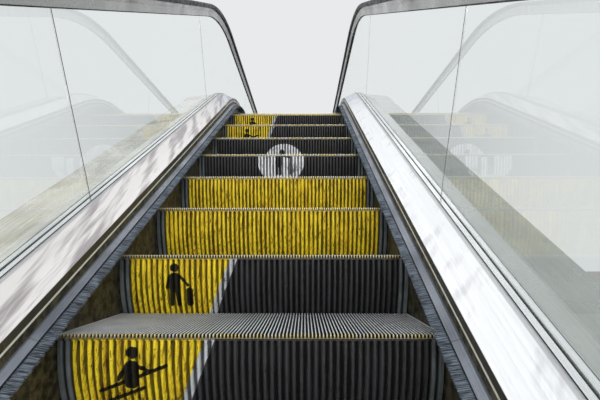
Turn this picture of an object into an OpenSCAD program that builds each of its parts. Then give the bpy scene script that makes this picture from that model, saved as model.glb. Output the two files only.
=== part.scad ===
// Escalator with glass balustrades: cleated steps, combs, skirts with brushes, decks and handrails.
// X runs across the steps, Y along the travel towards the upper landing, Z up.
// The origin is on the underside of the lower bearing flange, in the middle of its outer edge.

/* [Path of the steps] */
// Height from the lower landing to the upper landing
total_rise = 2400; // [2000:50:3600]
// Slope of the incline in degrees
incline = 30; // [27.3:0.1:35]
// Level run of the steps at the lower landing
lower_flat_run = 1200; // [800:10:1600]
// Level run of the steps at the upper landing
upper_flat_run = 1600; // [800:10:1600]
// Radius of the lower bend, at the noses
lower_radius = 1500; // [1400:10:2000]
// Radius of the upper bend, at the noses
upper_radius = 1200; // [1000:10:2000]
// Length of the floor outside each comb
landing_length = 1750; // [1500:10:2200]
// Height of the landing floor over the bearing faces
floor_height = 100; // [80:1:140]

/* [Steps] */
// Width of a step
step_width = 1000; // [600:200:1000]
// Distance from one step to the next, along the path
step_pitch = 406.4; // [400:0.1:410]
// Running gap between neighbouring steps
step_gap = 4; // [3:0.5:6]
// Distance from cleat to cleat on a tread
cleat_pitch = 9.5; // [8:0.1:12]
// Thickness of a tread cleat
cleat_width = 2.8; // [2.5:0.1:4]
// Depth of the grooves in a tread
groove_depth = 11; // [10:0.5:14]
// Thickness of the tread plate under the grooves
tread_plate = 6; // [5:0.5:10]
// Thickness of the riser plate behind its cleats
riser_plate = 5; // [4:0.5:8]
// Height of the riser cleats
riser_cleat = 9; // [6:0.5:12]
// Radius of the rollers
roller_radius = 38; // [30:1:42]
// Width of a roller
roller_width = 26; // [20:1:30]

/* [Skirts and brushes] */
// Running gap between a step and the skirt
skirt_gap = 4; // [3:0.5:5]
// Thickness of the skirt panel
skirt_thickness = 6; // [4:0.5:10]
// Height of the skirt over the noses, square to the path
skirt_height = 92; // [70:1:120]
// Depth of the skirt below the noses, square to the path
skirt_depth = 110; // [60:1:115]
// How far the rigid brush holder stands out from the skirt
holder_depth = 25; // [18:1:25]
// Height of the underside of the brush holder over the noses
holder_height = 46; // [25:1:60]
// Free length of the bristles
bristle_length = 26; // [15:1:30]

/* [Balustrades] */
// Width of the inner deck, from the skirt to the glass clamp
inner_deck_width = 104; // [90:1:130]
// Width of the clamp that holds the glass
clamp_width = 54; // [46:1:60]
// Width of the outer deck, from the glass clamp to the cladding
outer_deck_width = 228; // [180:1:300]
// Thickness of the glass
glass_thickness = 10; // [8:0.5:12]
// Gap between neighbouring panes
pane_gap = 4; // [2:0.5:6]
// Length of a whole pane on the incline
pane_length = 2005; // [1500:5:2400]
// Distance from the upper bend down to the highest straight joint
first_joint = 305; // [150:5:600]
// Height of the inner deck's upper edge over the noses
deck_height = 164; // [150:1:180]
// Height of the top of the handrail over the noses, square to the path
handrail_height = 880; // [850:5:950]
// Height of the returning handrail
return_height = 60; // [56:1:66]
// Width of the handrail
handrail_width = 78; // [70:1:90]
// Length of straight handrail past each comb
newel_run = 700; // [300:10:900]

/* [Truss and cladding] */
// Depth of the soffit below the noses, square to the incline
truss_depth = 800; // [700:10:850]
// Depth of the upper head below the floor
head_depth = 1050; // [950:10:1200]
// Thickness of the cladding sheets
clad_thickness = 10; // [6:1:16]
// Reach of the bearing flange past the end frame
bearing_reach = 100; // [80:5:150]
// Thickness of the bearing flange
bearing_thickness = 20; // [16:1:30]

/* [Hidden] */
// Heights and clearances
floor_over_noses = 30;
fit_gap = 0.3;
overlap = 1;
hair = 0.02;
bend_facets = 8;

// The path of the noses
low_level = floor_height - floor_over_noses;
high_level = low_level + total_rise;
comb_y = landing_length;
incline_rise = total_rise - (lower_radius + upper_radius) * (1 - cos(incline));
incline_length = incline_rise / sin(incline);
lower_arc = lower_radius * incline * PI / 180;
upper_arc = upper_radius * incline * PI / 180;
lower_tangent = lower_flat_run + lower_arc;
upper_tangent = lower_tangent + incline_length;
upper_flat = upper_tangent + upper_arc;
path_end = upper_flat + upper_flat_run;
lower_bend_y = comb_y + lower_flat_run;
incline_start = [lower_bend_y + lower_radius * sin(incline),
    low_level + lower_radius * (1 - cos(incline))];
incline_end = incline_start + incline_length * [cos(incline), sin(incline)];
upper_flat_y = incline_end.x + upper_radius * sin(incline);
upper_comb_y = upper_flat_y + upper_flat_run;
length_y = upper_comb_y + landing_length;

// Point [y, z] at the distance s along the path and n square to it
function path_point(s, n) =
    s < lower_flat_run ? [comb_y + s, low_level + n] :
    s < lower_tangent ? lower_bend((s - lower_flat_run) / lower_arc * incline, n) :
    s <= upper_tangent ? incline_start + (s - lower_tangent) * [cos(incline), sin(incline)]
        + n * [-sin(incline), cos(incline)] :
    s < upper_flat ? upper_bend((upper_flat - s) / upper_arc * incline, n) :
    [upper_flat_y + s - upper_flat, high_level + n];
function lower_bend(a, n) = [lower_bend_y + (lower_radius - n) * sin(a),
    low_level + lower_radius - (lower_radius - n) * cos(a)];
function upper_bend(a, n) = [upper_flat_y - (upper_radius + n) * sin(a),
    high_level - upper_radius + (upper_radius + n) * cos(a)];

// Stations along the path from s1 to s2, closer together in the bends
function stations(s1, s2) = concat([s1],
    [for (s = path_knots()) if (s > s1 + 0.01 && s < s2 - 0.01) s], [s2]);
function path_knots() = concat(
    [for (i = [0:bend_facets]) lower_flat_run + lower_arc * i / bend_facets],
    [for (i = [0:bend_facets]) upper_tangent + upper_arc * i / bend_facets]);
function band_outline(s1, s2, n1, n2) = concat(
    [for (s = stations(s1, s2)) path_point(s, n1)],
    reversed([for (s = stations(s1, s2)) path_point(s, n2)]));
function reversed(v) = [for (i = [len(v) - 1:-1:0]) v[i]];

// A side view [y, z] given its width from x1 to x2
module side_slab(x1, x2) {
    translate([x1, 0, 0]) rotate([90, 0, 90]) linear_extrude(x2 - x1) children();
}

// A cross-section [x, n] carried along the whole path, from before the lower run to after the upper one.
// The incline reaches a little into both bends, a hair slimmer than they are.
module along_path(before, after) {
    translate([0, lower_bend_y, low_level]) rotate([90, 0, 0])
        linear_extrude(lower_flat_run - before) children();
    translate([0, lower_bend_y, low_level + lower_radius]) rotate([90, 0, 90])
        rotate([0, 0, -90]) rotate_extrude(angle = incline, $fn = 120)
            translate([lower_radius, 0]) rotate(90) children();
    translate([0, incline_end.x, incline_end.y]) rotate([90 + incline, 0, 0]) translate([0, 0, -overlap])
        linear_extrude(incline_length + 2 * overlap) offset(delta = -hair) children();
    at_upper_run() {
        translate([0, 0, -upper_radius]) rotate([90, 0, 90])
            rotate([0, 0, 90]) rotate_extrude(angle = incline, $fn = 120)
                translate([upper_radius, 0]) mirror([1, -1]) children();
        rotate([90, 0, 0]) mirror([0, 0, 1]) linear_extrude(after - upper_flat) children();
    }
}
module at_upper_run() {
    translate([0, upper_flat_y, high_level]) children();
}
module left() {
    mirror([1, 0, 0]) children();
}
module both_sides() {
    children();
    left() children();
}

// Lines across the section, from the middle out
skirt_x = step_width / 2 + skirt_gap;
clamp_inner = skirt_x + inner_deck_width;
glass_offset = clamp_inner + clamp_width / 2;
clamp_outer = clamp_inner + clamp_width;
half_width = clamp_outer + outer_deck_width;

// Steps
steps_below_bend = ceil(upper_tangent / step_pitch);
steps_above_bend = floor((path_end - upper_tangent) / step_pitch);
step_count = steps_below_bend + 1 + steps_above_bend;
first_nose = upper_tangent - steps_below_bend * step_pitch;
function step_name(i) = str("step_", i < 10 ? "0" : "", i);

tread_depth = step_pitch - step_gap;
tread_thickness = groove_depth + tread_plate;
groove_count = floor((step_width - cleat_width) / cleat_pitch);
cleat_span = groove_count * cleat_pitch;
riser_drop = 213;
riser_tip = 5;
riser_angle = asin(riser_drop / tread_depth);
riser_lap = 2;
riser_start = asin((groove_depth + riser_lap) / tread_depth);
groove_taper = 0.4;
axle_y = 320;
axle_z = -130;
trail_y = 90;
trail_z = -262;
yoke_inset = 118;
yoke_thickness = 8;
yoke_margin = 18;
yoke_x = step_width / 2 - yoke_inset;
main_roller_offset = 53;
trail_roller_inset = 80;
main_roller_x = step_width / 2 + main_roller_offset;
trail_roller_x = step_width / 2 - trail_roller_inset;
axle_radius = 9;

// The outline of the tread across its width, with a groove between each two cleats
module tread_section() {
    half = step_width / 2;
    polygon(concat(
        [[-half, -tread_thickness], [-half, 0]],
        [for (i = [0:groove_count - 1], p = groove_points(-cleat_span / 2 + i * cleat_pitch)) p],
        [[half, 0], [half, -tread_thickness]]));
}
function groove_points(x) = [
    [x + cleat_width / 2, 0],
    [x + cleat_width / 2 + groove_taper, -groove_depth],
    [x + cleat_pitch - cleat_width / 2 - groove_taper, -groove_depth],
    [x + cleat_pitch - cleat_width / 2, 0]];

// The riser across its width, as [radius, x]: a cleat over every second tread cleat, wider at the ends
module riser_section() {
    half = step_width / 2;
    root = tread_depth - riser_cleat;
    polygon(concat(
        [[root - riser_plate, -half], [tread_depth, -half]],
        [for (i = [0:2:groove_count - 2], p = riser_groove(-cleat_span / 2 + i * cleat_pitch, root)) p],
        [[tread_depth, half], [root - riser_plate, half]]));
}
function riser_groove(x, root) = [
    [tread_depth, x + riser_tip / 2],
    [root, x + cleat_pitch],
    [tread_depth, x + 2 * cleat_pitch - riser_tip / 2]];

module step_casting() {
    rotate([-90, 0, 0]) mirror([0, 1, 0]) linear_extrude(tread_depth) tread_section();
    translate([0, tread_depth, 0]) rotate([90, 0, 90])
        rotate([0, 0, 180 + riser_start]) rotate_extrude(angle = riser_angle - riser_start, $fn = 120)
            riser_section();
}
module step_yoke() {
    under = -tread_thickness + overlap;
    root_z = -riser_drop + yoke_thickness;
    root_y = tread_depth - sqrt(pow(tread_depth - riser_cleat - overlap, 2) - pow(root_z, 2));
    side_slab(yoke_x, yoke_x + yoke_thickness) polygon([
        [riser_cleat + overlap, under], [root_y, root_z],
        [trail_y - yoke_margin, trail_z - yoke_margin], [trail_y + yoke_margin, trail_z - yoke_margin],
        [trail_y + 2 * yoke_margin, trail_z + yoke_margin], [axle_y - yoke_margin, axle_z - yoke_margin],
        [axle_y + yoke_margin, axle_z - yoke_margin], [axle_y + yoke_margin, under]]);
    roller_on_pin(axle_y, axle_z, main_roller_x);
    roller_on_pin(trail_y, trail_z, trail_roller_x);
}
module roller_on_pin(y, z, x) {
    inner = x - roller_width / 2;
    translate([inner, y, z]) rotate([0, 90, 0]) cylinder(r = roller_radius, h = roller_width, $fn = 48);
    translate([yoke_x, y, z]) rotate([0, 90, 0])
        cylinder(r = axle_radius, h = inner + overlap - yoke_x, $fn = 24);
}
module step(i) {
    nose = path_point(first_nose + (i - 1) * step_pitch, 0);
    color("silver") translate([0, nose.x, nose.y]) {
        step_casting();
        both_sides() step_yoke();
    }
}

// Combs and floor plates
comb_depth = 7;
tooth_length = 60;
tooth_play = 1.5;
tooth_taper = 0.4;
tooth_nose = 4;
comb_ramp = 50;
comb_root_height = 14;
comb_root_margin = 2;
comb_plate_length = 320;
plate_thickness = 25;
plate_bottom = floor_over_noses - plate_thickness;
comb_half = skirt_x - fit_gap;

// The comb from above: one tooth in each groove of the tread
module comb_plan() {
    tooth = cleat_pitch - cleat_width - 2 * tooth_play;
    polygon(concat([[-comb_half, -comb_plate_length], [-comb_half, -tooth_length]],
        [for (i = [0:groove_count - 1], p = tooth_points(-cleat_span / 2 + (i + 0.5) * cleat_pitch, tooth)) p],
        [[comb_half, -tooth_length], [comb_half, -comb_plate_length]]));
}
function tooth_points(x, w) = [
    [x - w / 2, -tooth_length],
    [x - w / 2 + tooth_taper, 0],
    [x + w / 2 - tooth_taper, 0],
    [x + w / 2, -tooth_length]];
module comb_side() {
    root = -tooth_length - comb_root_margin;
    polygon([[-comb_plate_length, plate_bottom], [root, plate_bottom], [root, -comb_depth],
        [-tooth_nose, -comb_depth], [0, tooth_nose - comb_depth], [-tooth_length, comb_root_height],
        [-tooth_length - comb_ramp, floor_over_noses], [-comb_plate_length, floor_over_noses]]);
}
module comb_plate() {
    intersection() {
        translate([0, 0, -comb_depth - overlap])
            linear_extrude(comb_depth + floor_over_noses + 2 * overlap) comb_plan();
        side_slab(-comb_half, comb_half) comb_side();
    }
}
module comb_plates() {
    color("gold") {
        translate([0, comb_y, low_level]) comb_plate();
        translate([0, upper_comb_y, high_level]) mirror([0, 1, 0]) comb_plate();
    }
}
cap_length = 150;
newel_y = comb_y - newel_run;
floor_wide_length = newel_y - cap_length - overlap;
floor_total_length = comb_y - comb_plate_length - fit_gap;
module floor_plate() {
    translate([0, 0, plate_bottom]) linear_extrude(plate_thickness) {
        translate([-half_width, 0]) square([2 * half_width, floor_wide_length]);
        translate([-comb_half, 0]) square([2 * comb_half, floor_total_length]);
    }
}
module floor_plates() {
    color("gray") {
        translate([0, 0, low_level]) floor_plate();
        translate([0, length_y, high_level]) mirror([0, 1, 0]) floor_plate();
    }
}

// Skirts and brushes
trim_start = -newel_run;
trim_end = path_end + newel_run;
module skirts() {
    color("dimgray") both_sides() side_slab(skirt_x, skirt_x + skirt_thickness)
        polygon(band_outline(trim_start, trim_end, -skirt_depth, skirt_height));
}
brush_margin = 120;
holder_top = 22;
holder_land = 6;
holder_bevel = 7;
holder_flange = 4;
slot_foot = 1;
slot_top = 13;
slot_depth = 8;
bristle_top = 6;
bristle_foot = -2;
holder_x = skirt_x - holder_depth;
module brush_holder_section() {
    translate([0, holder_height]) polygon([[skirt_x, -holder_flange], [skirt_x, holder_top],
        [skirt_x - holder_land, holder_top], [holder_x, holder_top - holder_bevel],
        [holder_x, slot_top], [holder_x + slot_depth, slot_top],
        [holder_x + slot_depth, slot_foot], [holder_x, slot_foot], [holder_x, 0]]);
}
module brush_holders() {
    color("lightsteelblue") both_sides()
        along_path(brush_margin, path_end - brush_margin) brush_holder_section();
}
module brush_section() {
    tip = holder_x - bristle_length;
    translate([0, holder_height]) polygon([[holder_x + slot_depth, slot_foot],
        [holder_x + slot_depth, slot_top], [holder_x, slot_top],
        [tip, bristle_top], [tip, bristle_foot], [holder_x, slot_foot]]);
}
module brush() {
    color("darkslategray") along_path(brush_margin, path_end - brush_margin) brush_section();
}

// Decks, glass and its clamp
sheet = 4;
deck_lip = 28;
deck_return = 24;
clamp_top = deck_height + 2;
clamp_bottom = 96;
clamp_base = 12;
glass_foot = clamp_bottom + clamp_base;
module inner_deck() {
    foot = skirt_height + deck_lip;
    color("lightgray") along_path(trim_start, trim_end) polygon([
        [skirt_x, skirt_height], [skirt_x, foot],
        [clamp_inner - sheet, deck_height], [clamp_inner, deck_height],
        [clamp_inner, deck_height - deck_return], [clamp_inner - sheet, deck_height - deck_return],
        [clamp_inner - sheet, deck_height - sheet], [skirt_x + sheet, foot - sheet],
        [skirt_x + sheet, skirt_height]]);
}
gasket = 1;
module glass_clamps() {
    slot = glass_thickness / 2 + gasket;
    color("silver") both_sides() along_path(trim_start, trim_end) polygon([
        [clamp_inner, clamp_bottom], [clamp_inner, clamp_top], [glass_offset - slot, clamp_top],
        [glass_offset - slot, glass_foot], [glass_offset + slot, glass_foot], [glass_offset + slot, clamp_top],
        [clamp_outer, clamp_top], [clamp_outer, clamp_bottom]]);
}
deck_drop = 20;
deck_edge = 8;
deck_skirt = 50;
deck_fold = 2;
outer_deck_top = deck_height - 6;
module outer_deck() {
    top = outer_deck_top;
    edge = outer_deck_top - deck_drop;
    color("darkgray") along_path(trim_start, trim_end) polygon([
        [clamp_outer, top - deck_return], [clamp_outer, top], [half_width - deck_edge, edge],
        [half_width, edge - deck_edge], [half_width, edge - deck_skirt],
        [half_width - sheet, edge - deck_skirt], [half_width - sheet, edge - deck_edge - deck_fold],
        [half_width - deck_edge - deck_fold, edge - sheet],
        [clamp_outer + sheet, top - sheet], [clamp_outer + sheet, top - deck_return]]);
}

// Panes of glass: a round one at each newel, one through each bend and straight ones on the incline
newel_radius = (handrail_height - return_height) / 2;
newel_level = (handrail_height + return_height) / 2;
glass_inset = 50;
glass_top = handrail_height - glass_inset;
newel_pane_reach = 420;
low_pane_joint = newel_pane_reach;
high_pane_joint = path_end - newel_pane_reach;
pane_joints = concat([low_pane_joint],
    reversed([for (s = [upper_tangent - first_joint:-pane_length:lower_flat_run]) s]), [high_pane_joint]);
module pane(s1, s2) {
    polygon(band_outline(s1, s2, glass_foot + fit_gap, glass_top));
}
module newel_pane(y, level) {
    translate([y, level + newel_level]) circle(r = newel_radius - glass_inset, $fn = 96);
}
module glass() {
    inner = glass_offset - glass_thickness / 2;
    color([0.75, 0.85, 0.85, 0.4]) side_slab(inner, inner + glass_thickness) {
        union() {
            pane(trim_start, low_pane_joint - pane_gap / 2);
            newel_pane(newel_y, low_level);
        }
        for (i = [0:len(pane_joints) - 2])
            pane(pane_joints[i] + pane_gap / 2, pane_joints[i + 1] - pane_gap / 2);
        union() {
            pane(high_pane_joint + pane_gap / 2, trim_end);
            newel_pane(upper_comb_y + newel_run, high_level);
        }
    }
}

// Handrail and its guide, as [x, height under the handrail's outer face]
belt_thickness = 30;
belt_skin = 10;
belt_wall = 11;
belt_lip = 16;
belt_crown = 8;
belt_edge = 2;
belt_shoulder = 3;
belt_chamfer = 4;
lip_height = 22;
function both_halves(v) = concat(v, reversed([for (p = v) [-p.x, p.y]]));
module belt_section() {
    half = handrail_width / 2;
    polygon(both_halves([[half - belt_crown, 0], [half - belt_edge, -belt_shoulder], [half, -belt_skin],
        [half, -lip_height], [half - belt_chamfer, -belt_thickness], [half - belt_lip, -belt_thickness],
        [half - belt_lip, -lip_height], [half - belt_wall, -lip_height], [half - belt_wall, -belt_skin]]));
}
guide_foot = 90;
guide_play = 2;
guide_grip = 7;
guide_neck = 44;
guide_shoulder = 56;
module guide_section() {
    rail = handrail_width / 2 - belt_wall - guide_play;
    stem = handrail_width / 2 - belt_lip - guide_play;
    slot = glass_thickness / 2 + fit_gap;
    grip = slot + guide_grip;
    polygon(both_halves([[rail, -belt_skin - fit_gap], [rail, fit_gap - lip_height],
        [stem, fit_gap - lip_height], [stem, -guide_neck], [grip, -guide_shoulder],
        [grip, -guide_foot], [slot, -guide_foot], [slot, -glass_inset]]));
}

// A section carried round a newel, square to the glass
module newel_turn(start, angle) {
    translate([0, 0, newel_level]) rotate([90, 0, 90]) rotate([0, 0, start])
        rotate_extrude(angle = angle, $fn = 120)
            translate([newel_radius, glass_offset]) mirror([1, -1]) children();
}
module at_lower_newel() {
    translate([0, newel_y, low_level]) children();
}
module at_upper_newel() {
    at_upper_run() translate([0, upper_flat_run + newel_run, 0]) mirror([0, 1, 0]) children();
}
module handrail() {
    color("black") {
        along_path(trim_start, trim_end) translate([glass_offset, handrail_height]) belt_section();
        along_path(trim_start, trim_end) translate([glass_offset, return_height]) mirror([0, 1]) belt_section();
        at_lower_newel() newel_turn(90, 180) belt_section();
        at_upper_newel() newel_turn(90, 180) belt_section();
    }
}
guide_angle = 150;
module handrail_guides() {
    color("gray") both_sides() {
        along_path(trim_start, trim_end) translate([glass_offset, handrail_height]) guide_section();
        at_lower_newel() newel_turn(90, guide_angle) guide_section();
        at_upper_newel() newel_turn(90, guide_angle) guide_section();
    }
}

// Caps that close the balustrades at the newels, with the mouth of the handrail and a slot for the glass
mouth_margin = 7;
mouth_start = 230;
mouth_angle = 45;
cap_bevel = 45;
cap_sheet_height = skirt_height + deck_lip;
module newel_cap() {
    difference() {
        intersection() {
            rotate([90, 0, 0]) linear_extrude(cap_length) polygon([
                [skirt_x, plate_bottom], [skirt_x, cap_sheet_height], [clamp_inner, clamp_top],
                [clamp_outer, clamp_top], [half_width, outer_deck_top - deck_drop],
                [half_width, plate_bottom]]);
            side_slab(skirt_x - overlap, half_width + overlap) polygon([
                [0, plate_bottom - overlap], [-cap_length - overlap, plate_bottom - overlap],
                [-cap_length - overlap, skirt_height], [-cap_length + cap_bevel, clamp_top + overlap],
                [overlap, clamp_top + overlap], [overlap, plate_bottom - overlap]]);
        }
        newel_turn(mouth_start, mouth_angle) mouth_section();
        side_slab(glass_offset - glass_thickness / 2 - gasket, glass_offset + glass_thickness / 2 + gasket)
            translate([0, newel_level]) circle(r = newel_radius - glass_inset + gasket, $fn = 96);
    }
}
module mouth_section() {
    half = handrail_width / 2 + mouth_margin;
    polygon([[mouth_margin - half, mouth_margin], [half - mouth_margin, mouth_margin], [half, 0],
        [half, -belt_thickness], [half - mouth_margin, -belt_thickness - mouth_margin],
        [mouth_margin - half, -belt_thickness - mouth_margin], [-half, -belt_thickness], [-half, 0]]);
}
module newel_caps() {
    color("silver") {
        at_lower_newel() both_sides() newel_cap();
        at_upper_newel() both_sides() newel_cap();
    }
}

// Truss, cladding and soffit
rail_thickness = 10;
track_drop = roller_radius + fit_gap;
pit_bottom = low_level + trail_z - track_drop - rail_thickness - clad_thickness;
head_bottom = high_level - head_depth;
soffit_origin = path_point(lower_tangent, -truss_depth);
function soffit_y(z) = soffit_origin.x + (z - soffit_origin.y) / tan(incline);
clad_top = outer_deck_top - deck_drop - deck_edge - deck_fold;
clad_outer = half_width - sheet - fit_gap;
clad_inner = clad_outer - clad_thickness;
end_y = bearing_reach;
far_end_y = length_y - bearing_reach;

// The underside of the shell in side view, from the lower end to the upper one, raised by h
function shell_line(h) = [[end_y, pit_bottom + h], [soffit_y(pit_bottom), pit_bottom + h],
    [soffit_y(head_bottom), head_bottom + h], [far_end_y, head_bottom + h]];
module side_cladding() {
    color("gainsboro") side_slab(clad_inner, clad_outer) {
        polygon(concat([[end_y, plate_bottom + low_level]], shell_line(clad_thickness),
            [[far_end_y, high_level + plate_bottom]],
            reversed([for (s = stations(trim_start, trim_end)) path_point(s, plate_bottom)])));
        polygon(band_outline(trim_start, trim_end, plate_bottom - overlap, clad_top));
    }
}
module soffit() {
    color("lightgray") side_slab(-clad_outer, clad_outer)
        polygon(concat(shell_line(0), reversed(shell_line(clad_thickness))));
}

// Each track is the path of the noses moved to its roller and lowered by the roller's radius
track_lead = 60;
track_tail = 160;
track_margin = 2;
track_half = roller_width / 2 + track_margin;
module track(y, z, x) {
    translate([0, y, z]) side_slab(x - track_half, x + track_half)
        polygon(band_outline(first_nose - track_lead, path_end + track_tail - y,
            -track_drop - rail_thickness, -track_drop));
}

// How far the underside of a track lies below the noses, square to a path with the slope a
function track_foot(y, z, a) = z * cos(a) - y * sin(a) - track_drop - rail_thickness;

// Frames square to the path carry the tracks, the chords and the balustrade
frame_thickness = 12;
frame_bar = 20;
frame_spacing = 1100;
head_frame_margin = 350;
brace_width = 50;
brace_inset = 4;
chord = 70;
post_foot = 20;
post_top = 132;
post_width = 14;
post_gap = 4;
inner_post = skirt_x + skirt_thickness + fit_gap;
clamp_post = glass_offset + handrail_width / 2 + post_gap;
outer_post = clad_inner - fit_gap;
module bar(x1, n1, x2, n2) {
    translate([x1, n1]) square([x2 - x1, n2 - n1]);
}
module frame_section(a, depth) {
    main_foot = track_foot(axle_y, axle_z, a);
    trail_foot = track_foot(trail_y, trail_z, a);
    arm_top = min(main_foot, trail_foot) + overlap;
    has_arm = depth > frame_bar - arm_top;
    base = has_arm ? arm_top : frame_bar - depth;
    packer = track_half - track_margin;
    bar(outer_post - frame_bar, -depth, outer_post, post_foot + chord - overlap);
    bar(main_roller_x - track_half, -depth, outer_post, frame_bar - depth);
    bar(main_roller_x - packer, base - overlap, main_roller_x + packer, main_foot + overlap);
    if (has_arm) {
        bar(trail_roller_x - track_half, arm_top - frame_bar, outer_post, arm_top);
        bar(trail_roller_x - packer, arm_top - overlap, trail_roller_x + packer, trail_foot + overlap);
    }
    bar(inner_post, -skirt_depth / 2, inner_post + frame_bar, skirt_height - post_gap);
    bar(inner_post, post_foot + overlap, outer_post, post_foot + frame_bar);
    bar(clamp_post, post_foot + overlap, clamp_post + post_width, post_top);
    bar(clamp_outer + fit_gap, post_top - post_width, clamp_post + post_width, post_top);
}
module frame_at(s, a, depth) {
    place = path_point(s, 0);
    translate([0, place.x, place.y]) rotate([90 + a, 0, 0]) translate([0, 0, -frame_thickness / 2])
        linear_extrude(frame_thickness) frame_section(a, depth);
}
frame_count = round(incline_length / frame_spacing);
function frame_s(i) = lower_tangent + (i + 0.5) * incline_length / frame_count;
module brace(s1, s2) {
    foot = path_point(s1, clad_thickness + chord / 2 - truss_depth);
    head = path_point(s2, post_foot + chord / 2);
    run = (head - foot) / norm(head - foot);
    side = brace_width / 2 * [-run.y, run.x];
    side_slab(outer_post - frame_bar + brace_inset, outer_post - brace_inset)
        polygon([foot - side, head - side, head + side, foot + side]);
}
module truss() {
    color("slategray") {
        track(axle_y, axle_z, main_roller_x);
        track(trail_y, trail_z, trail_roller_x);
        side_slab(outer_post - chord, outer_post)
            polygon(band_outline(trim_start, trim_end, post_foot, post_foot + chord));
        side_slab(outer_post - chord, outer_post)
            polygon(concat(shell_line(clad_thickness), reversed(shell_line(clad_thickness + chord))));
        frame_at(lower_flat_run / 2, 0, -trail_z + track_drop + rail_thickness - overlap);
        for (i = [0:frame_count - 1]) frame_at(frame_s(i), incline, truss_depth - clad_thickness - overlap);
        for (i = [0:frame_count - 2]) brace(frame_s(i), frame_s(i + 1));
        for (s = [upper_flat + head_frame_margin, path_end - head_frame_margin])
            frame_at(s, 0, head_depth - clad_thickness - overlap);
    }
}
module end_frame(wall_bottom) {
    height = low_level + plate_bottom;
    translate([-outer_post, bearing_reach, wall_bottom])
        cube([2 * outer_post, clad_thickness, height - wall_bottom]);
    translate([-outer_post, 0, 0]) cube([2 * outer_post, bearing_reach + overlap, bearing_thickness]);
    translate([-outer_post, 0, 0]) cube([2 * outer_post, clad_thickness, height]);
}
module lower_end_frame() {
    color("slategray") end_frame(pit_bottom + clad_thickness);
}
module upper_end_frame() {
    color("slategray") translate([0, length_y, high_level - low_level]) mirror([0, 1, 0])
        end_frame(low_level - head_depth + clad_thickness);
}

for (i = [1:step_count]) step(i);
floor_plates();
comb_plates();
skirts();
brush_holders();
glass_clamps();
handrail_guides();
newel_caps();
left() brush();  // brush_left
brush();  // brush_right
left() inner_deck();  // inner_deck_left
inner_deck();  // inner_deck_right
left() glass();  // glass_left
glass();  // glass_right
left() handrail();  // handrail_left
handrail();  // handrail_right
left() outer_deck();  // outer_deck_left
outer_deck();  // outer_deck_right
left() side_cladding();  // side_cladding_left
side_cladding();  // side_cladding_right
left() truss();  // truss_left
truss();  // truss_right
soffit();
lower_end_frame();
upper_end_frame();
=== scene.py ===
import math
import random

import bpy
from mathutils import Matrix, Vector


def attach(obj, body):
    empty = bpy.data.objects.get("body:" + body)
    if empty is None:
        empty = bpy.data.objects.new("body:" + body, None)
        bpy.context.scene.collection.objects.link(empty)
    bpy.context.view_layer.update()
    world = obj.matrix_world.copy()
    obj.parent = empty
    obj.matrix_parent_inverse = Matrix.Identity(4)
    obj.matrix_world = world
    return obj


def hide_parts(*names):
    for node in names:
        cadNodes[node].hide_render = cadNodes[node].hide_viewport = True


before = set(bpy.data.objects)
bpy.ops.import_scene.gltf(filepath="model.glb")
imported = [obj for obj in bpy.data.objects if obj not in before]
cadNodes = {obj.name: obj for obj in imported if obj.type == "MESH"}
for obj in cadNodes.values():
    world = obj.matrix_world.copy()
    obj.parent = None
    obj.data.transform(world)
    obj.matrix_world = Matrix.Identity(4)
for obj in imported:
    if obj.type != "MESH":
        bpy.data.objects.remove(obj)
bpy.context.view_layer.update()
print("frame loaded:", len(cadNodes), "pieces")

# The path of the noses, as the steps run, in metres
path = {
    "lowLevel": 0.070,
    "rise": 2.400,
    "incline": math.radians(30),
    "lowerFlatRun": 1.200,
    "upperFlatRun": 1.600,
    "lowerRadius": 1.500,
    "upperRadius": 1.200,
    "landing": 1.750,
    "newelRun": 0.700,
    "stepPitch": 0.4064,
    "bendSteps": 10,
}
slope = path["incline"]
bendRise = (path["lowerRadius"] + path["upperRadius"]) * (1 - math.cos(slope))
inclineLength = (path["rise"] - bendRise) / math.sin(slope)
lowerFlat = path["lowerFlatRun"]
lowerTangent = lowerFlat + path["lowerRadius"] * slope
upperTangent = lowerTangent + inclineLength
upperFlat = upperTangent + path["upperRadius"] * slope
pathEnd = upperFlat + path["upperFlatRun"]
bendY = path["landing"] + lowerFlat
highLevel = path["lowLevel"] + path["rise"]
inclineFoot = (bendY + path["lowerRadius"] * math.sin(slope),
               path["lowLevel"] + path["lowerRadius"] * (1 - math.cos(slope)))
upperFlatY = inclineFoot[0] + inclineLength * math.cos(slope) + path["upperRadius"] * math.sin(slope)
lengthY = upperFlatY + path["upperFlatRun"] + path["landing"]
floorLevel = path["lowLevel"] + 0.030
stepsBelowBend = math.ceil(upperTangent / path["stepPitch"])
firstNose = upperTangent - stepsBelowBend * path["stepPitch"]
stepCount = stepsBelowBend + 1 + math.floor((pathEnd - upperTangent) / path["stepPitch"])


def pathPoint(s, n):  # the place (y, z) at s along the noses and n square to them
    if s < lowerFlat:
        return path["landing"] + s, path["lowLevel"] + n
    if s < lowerTangent:
        turn, reach = (s - lowerFlat) / path["lowerRadius"], path["lowerRadius"] - n
        return bendY + reach * math.sin(turn), path["lowLevel"] + path["lowerRadius"] - reach * math.cos(turn)
    if s <= upperTangent:
        along = s - lowerTangent
        return (inclineFoot[0] + along * math.cos(slope) - n * math.sin(slope),
                inclineFoot[1] + along * math.sin(slope) + n * math.cos(slope))
    if s < upperFlat:
        turn, reach = (upperFlat - s) / path["upperRadius"], path["upperRadius"] + n
        return upperFlatY - reach * math.sin(turn), highLevel - path["upperRadius"] + reach * math.cos(turn)
    return upperFlatY + s - upperFlat, highLevel + n


def paint(red, green, blue):  # a colour as it is seen, 0 to 255, for a shader socket
    def linear(c):
        c /= 255
        return c / 12.92 if c <= 0.04045 else ((c + 0.055) / 1.055) ** 2.4
    return (linear(red), linear(green), linear(blue), 1.0)


def feed(tree, socket, value):
    if isinstance(value, bpy.types.NodeSocket):
        tree.links.new(value, socket)
    else:
        socket.default_value = value


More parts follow.
